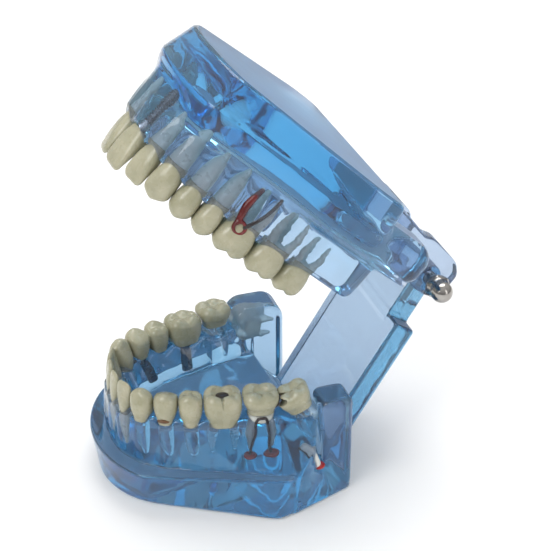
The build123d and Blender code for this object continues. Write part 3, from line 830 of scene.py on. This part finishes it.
def build_tooth(jaw, side, tooth):
    """Crown and root of a tooth, if the CAD has it."""
    name = f"{jaw}_{side}_{tooth}"
    if name not in nodes:
        return
    width, depth, length = tooth_size(jaw, tooth)
    width *= FULLER[jaw]
    frame, mesial = tooth_frame(jaw, SIDES[side], tooth)
    forwards, shift = TIPS.get(name, (0.0, (0, 0, 0)))
    frame = frame.turned(about_y=forwards * mesial, shift=np.multiply(shift, (mesial, 1, 1)))
    height = HEIGHT[jaw] + setting(jaw, tooth)[0]
    neck, longer = (NECK.get(tooth, 0.0), 0.0) if jaw == "lower" else (0.0, LONGER.get(tooth, 0.0))
    plain = crown_field(jaw, tooth, width, depth, height + longer - neck)
    crown = hollowed(lambda q: plain(q - (0, 0, neck)), *CAVITIES.get(name, []))
    low = (-width * 0.62, -depth * 0.66, -2.2)
    high = (width * 0.62, depth * 0.78, height + 3.4)
    bent = frame.turned(about_x=BEND.get(tooth, 0.0)) if jaw == "upper" else frame
    fit(name + "_crown", mirrored(crown, mesial), low, high, CROWN_STEP, bent, jaw, "tooth_ivory", name)
    root = root_field(jaw, tooth, width, depth, length)
    low = (-width * 0.7, -depth * 0.75, -length - 1.5)
    high = (width * 0.7, depth * 0.75, 2.6)
    look = root_look(jaw, side, tooth)
    if look == "rough_root":
        root = rippled(root)
    fit(name + "_root", mirrored(root, mesial), low, high, CROWN_STEP * 1.2, frame, jaw, look, name)


for jaw in ("lower", "upper"):
    for side in SIDES:
        for tooth in TEETH:
            build_tooth(jaw, side, tooth)


# ======== bridge, implant crown, impacted molar
SOCKET, SOCKET_RIM = 1.8, 2.1       # radii of the room for an abutment and for its shoulder


def node_middle(name):
    points = node_points(name)
    return (points.min(0) + points.max(0)) / 2


def bridge_field(p):
    """Three joined crowns over the two abutments, in the row frame."""
    body = None
    for tooth in ("first_premolar", "second_premolar", "first_molar"):
        width, depth, _ = tooth_size("lower", tooth)
        frame, mesial = tooth_frame("lower", RIGHT, tooth)
        unit = crown_field("lower", tooth, width, depth, H)(frame.into(p) * (mesial, 1, 1))
        body = unit if body is None else join(body, unit, 0.7)
    for post in ("lower_front_abutment", "lower_rear_abutment"):
        middle, top = node_middle(post), node_points(post)[:, 2].max()
        radius = from_axis(p - middle)
        body = cut(body, np.maximum(radius - SOCKET, p[..., 2] - top - 0.3), 0.2)
        body = cut(body, np.maximum(radius - SOCKET_RIM, p[..., 2] - GUM["lower"] - 0.6), 0.2)
    return np.maximum(body, GUM["lower"] - 0.1 - p[..., 2])


bridge_box = node_points("lower_bridge")
add("bridge", bridge_field, bridge_box.min(0) - 1, bridge_box.max(0) + 1, CROWN_STEP, None, LOWER,
    "tooth_ivory", "lower_bridge")

width, depth, _ = tooth_size("upper", "central_incisor")
implant_frame, mesial = tooth_frame("upper", LEFT, "central_incisor")
crown_frame = implant_frame.turned(about_x=BEND["central_incisor"])
full_height = HEIGHT["upper"] + FRONT["central_incisor"][0] + LONGER["central_incisor"]
incisor = crown_field("upper", "central_incisor", width, depth, full_height)


def crown_on_implant(q):
    """Central incisor crown with a socket for the abutment that leans away from it."""
    r = implant_frame.into(crown_frame.out(q))
    across = from_axis(r)
    hole = np.minimum(np.maximum(across - SOCKET + 0.09 * r[..., 2], r[..., 2] - 4.8),
                      np.maximum(across - SOCKET_RIM, r[..., 2] - 1.2))
    body = cut(incisor(q * (mesial, 1, 1)), hole, 0.2)
    return np.maximum(body, 0.05 - q[..., 2])


add("implant_crown", crown_on_implant, (-width * 0.62, -depth * 0.66, -1), (width * 0.62, depth * 0.8, 14),
    CROWN_STEP, placed("upper", crown_frame), "implant_crown", "tooth_ivory", "upper_left_central_crown")

impacted = tooth_frame("lower", RIGHT, "third_molar", 1.5)[0].turned(about_y=-78.0, shift=(0, 0, -1.4))
impacted.origin[2] -= 1.3
IMPACTED_SIZE = 9.0, 8.4        # width and depth of the molar that lies in the far block
fit("impacted_crown", crown_field("lower", "third_molar", *IMPACTED_SIZE, 6.0), (-6, -6, -2), (6, 6, 7),
    CROWN_STEP, impacted, "lower", "impacted_tooth_resin", "lower_right_impacted_molar")
fit("impacted_root", root_field("lower", "third_molar", *IMPACTED_SIZE, 7.0), (-6, -6, -9), (6, 6, 2.6),
    CROWN_STEP, impacted, "lower", "impacted_tooth_resin", "lower_right_impacted_molar")


# ======== implants and abutments
FINE = 0.12
SOFT = 0.15      # edge rounding of turned metal


def turned_rod(q, radius, low, high):
    """Plain cylinder along Z with softened ends."""
    middle, half = (low + high) / 2, (high - low) / 2
    return prism(from_axis(q) - radius, np.abs(q[..., 2] - middle) - half, SOFT)


def thread(q, pitch, depth):
    """Depth of a single-start thread groove at a point."""
    turn = q[..., 2] / pitch + np.arctan2(q[..., 1], q[..., 0]) / (2 * math.pi)
    return depth * np.abs(2 * (turn - np.floor(turn)) - 1)


def abutment_field(q):
    """Tapered post on a round shoulder."""
    across, z = from_axis(q), q[..., 2]
    post = np.maximum(across - 1.5 + 0.089 * z, np.maximum(z - 4.5, -z - 1))
    return join(post, turned_rod(q, 1.8, -2.5, 0), 0.15)


def smooth_implant(q):
    """Plain implant with a shallow ring near its top and a domed end."""
    ring = 0.15 * np.exp(-((q[..., 2] + 1.6) / 0.25) ** 2)
    return join(turned_rod(q, 1.75, -8.4, 0.0), egg(q, (0, 0, -8.2), (1.7, 1.7, 0.9)), 0.2) + ring


def threaded_field(q):
    """Screw implant with a tapered end."""
    taper = np.clip((q[..., 2] + 15.0) / 2.5, 0, 1) ** 0.5
    side = from_axis(q) - mix(1.1, 1.95, taper) + thread(q, 0.95, 0.5)
    return np.maximum(side, np.abs(q[..., 2] + 8.75) - 6.25) * 0.8


ABUTMENT_BOX = (-2.2, -2.2, -3), (2.2, 2.2, 5)
for end, tooth, tilt in (("front", "first_premolar", 18.0), ("rear", "first_molar", 0.0)):
    middle = node_middle(f"lower_{end}_abutment")
    post = Frame((middle[0], middle[1], GUM["lower"]), tooth_frame("lower", RIGHT, tooth)[0].axes)
    fit(f"{end}_abutment", abutment_field, *ABUTMENT_BOX, FINE, post, "lower", "abutment_metal",
        f"lower_{end}_abutment")
    top = post.turned(shift=(0, 0, -2.5)).turned(about_y=-tilt)
    fit(f"{end}_implant", smooth_implant, (-2.2, -2.2, -9.6), (2.2, 2.2, 0.5), FINE, top, "lower",
        "implant_metal", f"lower_{end}_implant")
fit("upper_abutment", abutment_field, *ABUTMENT_BOX, FINE, implant_frame, "upper", "abutment_metal",
    "upper_left_abutment")
fit("upper_implant", threaded_field, (-2.4, -2.4, -15.4), (2.4, 2.4, -2.2), FINE, implant_frame, "upper",
    "threaded_implant_metal", "upper_left_implant")


# ======== disease inserts
def insert(name, field, low, high, *where_and_look):
    """Small piece in the frame of a tooth."""
    fit(name, field, low, high, FINE, *where_and_look)


def left_frame(jaw, tooth):
    return tooth_frame(jaw, LEFT, tooth)[0]


molar = left_frame("lower", "second_molar")
canal_path = [(2.9, 1.4, -12.2), (2.4, 2.4, -8), (1.8, 3.3, -4.2), (1.9, 3.7, -1.2), (1.2, 4.1, 0.9),
              (0, 4.3, 1.3), (-1.1, 4.1, 1.0), (-1.7, 3.7, -1.2), (-2.1, 3.3, -5), (-1.9, 2.3, -9),
              (-2.2, 1.4, -12.2)]
insert("second_molar_canals_line", line_of(smooth_path(canal_path), 0.42), (-4, 0, -13), (4, 5.2, 2),
       molar, "lower", "canal_black", "second_molar_canals")
insert("second_molar_lesion_caps",
       lambda q: np.minimum(crescent(q, (2.9, 1.2, -13.2)), crescent(q, (-2.8, 1.2, -13.2))),
       (-6, -2, -16), (6, 4, -11), molar, "lower", "lesion_red", "second_molar_lesions")

molar = left_frame("lower", "third_molar")
piece_path = smooth_path([(-1.5, 5.3, -9.5), (-3.0, 5.7, -10.7), (-4.1, 5.9, -12.8), (-4.9, 6.0, -15.3)])
groove_path = smooth_path([(-0.2, 5.2, -9.9), (-1.8, 5.5, -11.6), (-2.9, 5.8, -13.5)])
insert("root_piece_bar", line_of(piece_path, np.linspace(1.15, 1.5, len(piece_path))), (-8, 3, -18),
       (3, 8, -6), molar, "lower", "white_root", "root_piece")
insert("root_piece_groove", line_of(groove_path, 0.4), (-4, 3, -15), (4, 7, -7), molar, "lower",
       "canal_black")
insert("root_piece_cap", lambda q: crescent(q, (-5.6, 5.8, -16.2)), (-9, 3, -19), (-3, 9, -14), molar,
       "lower", "lesion_red", "root_piece_lesion")

molar = left_frame("upper", "first_molar")
RING_CENTRE, RING_RADIUS = (-1.6, 4.4, 0.3), 1.6


def canal_ring(q):
    """Ring that stands for the opened pulp chamber."""
    r = q - np.array(RING_CENTRE)
    around = np.hypot(r[..., 0], r[..., 2]) - RING_RADIUS
    return np.hypot(around, r[..., 1] * 0.7) - 0.55


wide_path = smooth_path([(-2.9, 4.2, -0.4), (-3.2, 4.1, -2.6), (-3.7, 3.9, -5.6), (-3.4, 3.7, -8.6),
                         (-2.9, 3.3, -11.0)])
wide = line_of(wide_path, 0.7 + 0.4 * np.sin(math.pi * np.arange(len(wide_path)) / (len(wide_path) - 1)))
insert("molar_canal_wide", lambda q: join(wide(q), canal_ring(q), 0.4), (-6, 2, -13), (1, 6, 4), molar,
       "upper", "canal_red", "molar_wide_canal")
thin_path = smooth_path([(-0.6, 4.5, -0.6), (0.6, 4.3, -3.0), (1.8, 3.9, -6.0), (2.5, 3.5, -9.2),
                         (2.8, 3.2, -12.0)])
insert("molar_canal_thin", line_of(thin_path + (0, 0.4, 0), 0.55), (-3, 2, -14), (5, 6, 2), molar,
       "upper", "canal_black", "molar_thin_canal")

tilted = left_frame("lower", "third_molar").turned(about_y=TIPS["lower_left_third_molar"][0])
# Black egg at the mesial slit of the tilted third molar: painted shade standing in for the shadow in the gap
# under its crown.
insert("third_molar_slit_painted_shade", egg_at((3.4, 1.2, H - 1.75), (2.6, 2.8, 0.7)), (0, -3, 3), (8, 6, 9), tilted,
       "lower", "canal_black")
insert("premolar_neck_stain", egg_at((0.2, 3.0, 0.7), (1.8, 0.75, 0.65)), (-3, 2, -1), (3, 6, 3),
       left_frame("lower", "first_premolar"), "lower", "decay_brown", "premolar_neck_decay")
insert("molar_cavity_lining", egg_at((0.1, -0.6, H - 2.3), (2.2, 1.5, 0.75)), (-4, -3, 4), (4, 3, H),
       left_frame("lower", "first_molar"), "lower", "cavity_brown", "molar_cavity_decay")


# ======== hinge hardware
NUT_FLATS, ROD_RADIUS, ROD_HALF = 7.0, 2.0, 24.7


def nut_field(q):
    """Cap nut: chamfered hexagon, thin collar and dome."""
    x, y, z = np.moveaxis(q, -1, 0)
    across = from_axis(q)
    flats = np.max([np.abs(x * math.cos(a) + y * math.sin(a)) for a in np.radians([0, 60, 120])], axis=0)
    hexagon = meet(flats - NUT_FLATS / 2, np.abs(z - 1.6) - 1.6, 0.3)
    hexagon = np.maximum(hexagon, (across - 3.95 + 0.6 * np.abs(z - 1.6)) * 0.85)
    dome = join(turned_rod(q, 3.15, 2.6, 4.9), ball(q, (0, 0, 4.75), 3.2), 0.2)
    bore = np.maximum(across - ROD_RADIUS, z - 5.3)
    return np.maximum(join(hexagon, dome, 0.35), -bore)


for side, sign in SIDES.items():
    seat = Frame((sign * LUG_OUT, HINGE[1], HINGE[2]), [[0, 1, 0], [0, 0, sign], [sign, 0, 0]])
    add(f"{side}_nut", nut_field, (-4.4, -4.4, -0.4), (4.4, 4.4, 8.4), FINE * 1.2, seat.out, UPPER,
        "nut_chrome", f"{side}_cap_nut")
rod = Frame(HINGE, [[0, 1, 0], [0, 0, 1], [1, 0, 0]])
add("hinge_bar", lambda q: (turned_rod(q, ROD_RADIUS, -ROD_HALF, ROD_HALF) + thread(q, 0.7, 0.22)) * 0.85,
    (-2.4, -2.4, -25.2), (2.4, 2.4, 25.2), FINE * 1.2, rod.out, UPPER, "rod_steel", "hinge_rod")


# ======== materials
def feed(node, **values):
    """Link outputs to a node's inputs, or set plain values on them. Underscores stand for spaces."""
    for name, value in values.items():
        socket = node.inputs[name.replace("_", " ")]
        if isinstance(value, bpy.types.NodeSocket):
            node.id_data.links.new(value, socket)
        else:
            socket.default_value = value
    return node


def noise(tree, scale, detail=3.0):
    """Noise in the piece's own frame, scale in turns per metre."""
    place = tree.nodes.new("ShaderNodeTexCoord").outputs["Object"]
    return feed(tree.nodes.new("ShaderNodeTexNoise"), Vector=place, Scale=scale, Detail=detail).outputs[0]


def ramp(tree, factor, low, high, start=0.35, end=0.65):
    """Colour that runs from low to high between two values of the factor."""
    made = tree.nodes.new("ShaderNodeValToRGB")
    for element, position, colour in zip(made.color_ramp.elements, (start, end), (low, high)):
        element.position = position
        element.color = colour
    tree.links.new(factor, made.inputs[0])
    return made.outputs[0]


def bump(tree, height, depth):
    """Normal bent by a height field of a depth in metres."""
    made = feed(tree.nodes.new("ShaderNodeBump"), Strength=1.0, Distance=depth, Height=height)
    return made.outputs[0]


def pick(tree, operation, a, b):
    """Larger or smaller of two values."""
    made = tree.nodes.new("ShaderNodeMath")
    made.operation = operation
    tree.links.new(a, made.inputs[0])
    tree.links.new(b, made.inputs[1])
    return made.outputs[0]


def grey(value):
    return (value, value, value, 1)


def new_material(name, dark, light, cloud, rough, patch, waves=None, **values):
    """Material whose colour and roughness vary by noise of scales cloud and patch. Waves are the scale,
    depth and detail of its bump, and the other values feed its surface."""
    material = bpy.data.materials.new(name)
    material.use_nodes = True
    tree = material.node_tree
    surface = tree.nodes["Principled BSDF"]
    feed(surface, Base_Color=ramp(tree, noise(tree, cloud), (*dark, 1), (*light, 1)),
         Roughness=ramp(tree, noise(tree, patch), grey(rough[0]), grey(rough[1])), **values)
    if waves:
        scale, depth, detail = waves
        feed(surface, Normal=bump(tree, noise(tree, scale, detail), depth))
    return material, tree, surface


def resin(name, skin, tint, density, ior, rough, waves, clear, ground=()):
    """Clear cast resin: gently wavy skin and a tint that deepens with thickness. Faces that point along a
    direction in ground are matt and cloudy."""
    paler = [min(1.0, v * 1.06) for v in skin]
    material, tree, surface = new_material(name, skin, paler, 45, rough, 90, (*waves, 2.0),
                                           Transmission_Weight=clear, IOR=ior)
    roughness, clearness = surface.inputs["Roughness"].links[0].from_socket, None
    for direction, matt, cloudy in ground:
        facing = tree.nodes.new("ShaderNodeVectorMath")
        facing.operation = "DOT_PRODUCT"
        facing.inputs[1].default_value = direction
        tree.links.new(tree.nodes.new("ShaderNodeTexCoord").outputs["Normal"], facing.inputs[0])
        matted, clouded = [ramp(tree, facing.outputs["Value"], grey(low), grey(high), 0.97, 0.99)
                           for low, high in ((0, matt), (clear, cloudy))]
        roughness = pick(tree, "MAXIMUM", roughness, matted)
        clearness = pick(tree, "MINIMUM", clearness, clouded) if clearness else clouded
        feed(surface, Roughness=roughness, Transmission_Weight=clearness)
    volume = feed(tree.nodes.new("ShaderNodeVolumeAbsorption"), Color=(*tint, 1), Density=density)
    feed(tree.nodes["Material Output"], Volume=volume.outputs[0])
    return material


def enamel(name, light, dark, rough, grain, depth, soft=0.0, clear=0.0):
    """Cast tooth resin: cloudy colour, satin skin and fine unevenness."""
    return new_material(
        name, dark, light, 160, rough, 420, (grain, depth, 3.0), Transmission_Weight=clear,
        IOR=1.25 if clear else 1.45, Subsurface_Weight=soft, Subsurface_Radius=(0.0018, 0.0012, 0.0007),
        Coat_Weight=0.25, Coat_Roughness=0.12)[0]


def metal(name, light, dark, rough):
    """Turned metal with a fine grain."""
    return new_material(name, dark, light, 300, rough, 900, (2500, 0.00002, 3.0), Metallic=1.0)[0]


SLAB_TOP = turn_matrix(-OPENING) @ (0, 0, 1)      # direction of the upper casting's flat back at rest
# Each material by its name, with the record's slot first.
RESINS = {      # skin, tint, density, refraction, roughness, wave scale and depth, clearness, matt faces
    "clear_blue_resin": ("clear_resin", (0.565, 0.60, 0.74), (0.0, 0.75, 0.94), 34.0, 1.45, (0.0, 0.04),
                         (60, 0.00015), 0.93, ((SLAB_TOP, 0.6, 0.72), ((0, 0, -1), 0.5, 0.8))),
    "clear_root_resin": ("clear_resin", (0.90, 0.94, 0.94), (0.55, 0.68, 0.66), 30.0, 1.22, (0.02, 0.08),
                         (260, 0.0003), 0.92),
    "impacted_tooth_resin": ("tooth_ivory", (0.95, 0.96, 0.88), (0.55, 0.68, 0.60), 25.0, 1.25,
                             (0.03, 0.12), (260, 0.0003), 0.6),
}
ENAMELS = {     # light and dark colour, roughness, grain scale and depth, subsurface, clearness
    "tooth_ivory": ("tooth_ivory", (0.43, 0.41, 0.29), (0.34, 0.33, 0.222), (0.2, 0.34), 700, 0.00006, 0.12),
    "root_ivory": ("tooth_ivory", (0.88, 0.91, 0.84), (0.74, 0.79, 0.72), (0.25, 0.4), 600, 0.0002, 0, 0.25),
    "rough_root": ("tooth_ivory", (0.86, 0.89, 0.82), (0.66, 0.71, 0.64), (0.3, 0.5), 420, 0.0006, 0, 0.35),
    "grey_root": ("tooth_ivory", (0.84, 0.85, 0.80), (0.70, 0.73, 0.69), (0.3, 0.45), 600, 0.0002, 0, 0.3),
    "white_root": ("tooth_ivory", (0.86, 0.85, 0.80), (0.74, 0.73, 0.68), (0.2, 0.35), 600, 0.0001),
    "cavity_brown": ("decay_brown", (0.06, 0.035, 0.02), (0.015, 0.01, 0.007), (0.35, 0.6), 900, 0.0003),
    "decay_brown": ("decay_brown", (0.16, 0.075, 0.03), (0.03, 0.014, 0.008), (0.35, 0.6), 900, 0.0003),
    "lesion_red": ("lesion_red", (0.55, 0.02, 0.015), (0.30, 0.01, 0.008), (0.12, 0.25), 700, 0.0001),
    "canal_red": ("canal_red", (0.19, 0.013, 0.013), (0.09, 0.006, 0.007), (0.15, 0.3), 900, 0.0003),
    # This black colours the real canals and also the third molar's slit, where it is painted shade.
    "canal_black": ("canal_dark", (0.03, 0.022, 0.024), (0.008, 0.006, 0.008), (0.15, 0.3), 900, 0.0001),
}
METALS = {      # light and dark colour, roughness
    "abutment_metal": ("implant_metal", (0.58, 0.58, 0.58), (0.42, 0.42, 0.43), (0.2, 0.35)),
    "threaded_implant_metal": ("implant_metal", (0.36, 0.37, 0.38), (0.24, 0.25, 0.26), (0.2, 0.3)),
    "implant_metal": ("implant_metal", (0.20, 0.21, 0.22), (0.10, 0.105, 0.11), (0.25, 0.4)),
    "nut_chrome": ("nut_chrome", (0.48, 0.46, 0.43), (0.34, 0.32, 0.30), (0.10, 0.2)),
    "rod_steel": ("rod_steel", (0.45, 0.45, 0.46), (0.30, 0.30, 0.31), (0.25, 0.4)),
}
LOOKS = {}
for make, table in ((resin, RESINS), (enamel, ENAMELS), (metal, METALS)):
    for name, (slot, *values) in table.items():
        LOOKS[name] = slot, make(name, *values)
for made, look in pieces.values():
    slot, material = LOOKS[look]
    made.data.materials.append(material)


# ======== camera, floor and light
AZIMUTH, ELEVATION = math.radians(71.4), math.radians(30.3)
back = Vector((math.sin(AZIMUTH) * math.cos(ELEVATION), -math.cos(AZIMUTH) * math.cos(ELEVATION),
               math.sin(ELEVATION)))
right = Vector((math.cos(AZIMUTH), math.sin(AZIMUTH), 0))
camera = in_scene("camera", bpy.data.cameras.new("camera"))
camera.location = Vector((347.8, -94.8, 272.1)) * MM
camera.rotation_mode = "QUATERNION"
camera.rotation_quaternion = Matrix((right, back.cross(right), back)).transposed().to_quaternion()
camera.data.lens = 94.74
camera.data.sensor_width = 36
camera.data.clip_start = 0.01
bpy.context.scene.camera = camera


def softbox(name, place, size, power, aim=(0, 0.01, 0.05)):
    """Rectangular area light that points at the model."""
    light = bpy.data.lights.new(name, "AREA")
    light.shape = "RECTANGLE"
    light.size, light.size_y = size
    light.energy = power
    made = in_scene(name, light)
    made.location = place
    made.rotation_mode = "QUATERNION"
    made.rotation_quaternion = (Vector(aim) - Vector(place)).to_track_quat("-Z", "Y")


softbox("key", (0.35, -0.65, 0.75), (0.5, 0.5), 4.0)
softbox("top", (-0.25, 0.15, 0.95), (0.7, 0.5), 5.5)
softbox("side", (0.75, 0.45, 0.35), (0.25, 0.6), 1.0)

FLOOR_HALF = 3.0
corners = [(x * FLOOR_HALF, y * FLOOR_HALF, 0) for x, y in ((-1, -1), (1, -1), (1, 1), (-1, 1))]
floor_mesh = bpy.data.meshes.new("floor")
floor_mesh.from_pydata(corners, [], [(0, 1, 2, 3)])
floor = in_scene("floor", floor_mesh)
floor.location.z = -0.0004      # a hair below the underside, so that the two don't touch
paper = new_material("pale_floor", [0.84] * 3, [0.88] * 3, 3, (0.9, 0.9), 3, Emission_Color=grey(1),
                     Emission_Strength=0.08)[0]
floor_mesh.materials.append(paper)

world = bpy.data.worlds.new("studio")
world.use_nodes = True
tree = world.node_tree
sky = tree.nodes.new("ShaderNodeTexCoord").outputs["Generated"]
height = feed(tree.nodes.new("ShaderNodeSeparateXYZ"), Vector=sky).outputs["Z"]
feed(tree.nodes["Background"], Color=ramp(tree, height, grey(0.45), grey(0.95), 0.02, 0.7), Strength=0.7)
scene = bpy.context.scene
scene.world = world
scene.view_settings.view_transform = "Standard"
scene.cycles.max_bounces = 20
scene.cycles.transmission_bounces = 20
scene.cycles.use_denoising = True
